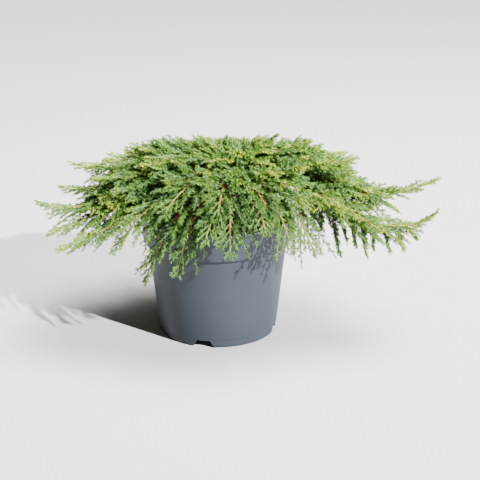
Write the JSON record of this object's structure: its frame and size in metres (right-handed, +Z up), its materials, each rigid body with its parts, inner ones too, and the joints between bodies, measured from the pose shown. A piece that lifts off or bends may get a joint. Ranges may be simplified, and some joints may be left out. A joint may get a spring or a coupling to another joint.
{
  "type": "potted green carpet common juniper",
  "caption": "Low spreading evergreen shrub in a round tapered nursery pot, its needled plumes arching out over the rim on all sides.",
  "frame": {"origin": "middle of the pot's flat underside", "axes": "+Z up; the plant's front looks along -Y; +X to the right seen from the front, along the crown's longest spread"},
  "size_m": [0.5998, 0.4197, 0.298],
  "materials": {
    "pot": "satin, dark blue-grey",
    "growing_medium": "matte, dark moist potting mix",
    "bark": "matte, orange-brown young bark",
    "foliage": "matte, mid green to yellow-green needles"
  },
  "bodies": {
    "root": {"pot": "pot", "growing_medium": "growing_medium", "trunk": "bark", "bough_01": "bark", "bough_02": "bark", "bough_03": "bark", "bough_04": "bark", "bough_05": "bark", "bough_06": "bark", "bough_07": "bark", "bough_08": "bark", "bough_09": "bark", "bough_10": "bark", "bough_11": "bark", "bough_12": "bark", "foliage_01_high": "foliage", "foliage_01_mid": "foliage", "foliage_01_low": "foliage", "foliage_02_high": "foliage", "foliage_02_mid": "foliage", "foliage_02_low": "foliage", "foliage_03_high": "foliage", "foliage_03_mid": "foliage", "foliage_03_low": "foliage", "foliage_04_high": "foliage", "foliage_04_mid": "foliage", "foliage_04_low": "foliage", "foliage_05_high": "foliage", "foliage_05_mid": "foliage", "foliage_05_low": "foliage", "foliage_06_high": "foliage", "foliage_06_mid": "foliage", "foliage_06_low": "foliage", "foliage_07_high": "foliage", "foliage_07_mid": "foliage", "foliage_07_low": "foliage", "foliage_08_high": "foliage", "foliage_08_mid": "foliage", "foliage_08_low": "foliage", "foliage_09_high": "foliage", "foliage_09_mid": "foliage", "foliage_09_low": "foliage", "foliage_10_high": "foliage", "foliage_10_mid": "foliage", "foliage_10_low": "foliage", "foliage_11_high": "foliage", "foliage_11_mid": "foliage", "foliage_11_low": "foliage", "foliage_12_high": "foliage", "foliage_12_mid": "foliage", "foliage_12_low": "foliage", "foliage_top_1": "foliage", "foliage_top_2": "foliage", "foliage_top_3": "foliage", "foliage_top_4": "foliage", "foliage_top_5": "foliage", "foliage_top_6": "foliage", "foliage_top_7": "foliage", "foliage_top_8": "foliage"}
  },
  "joints": []
}
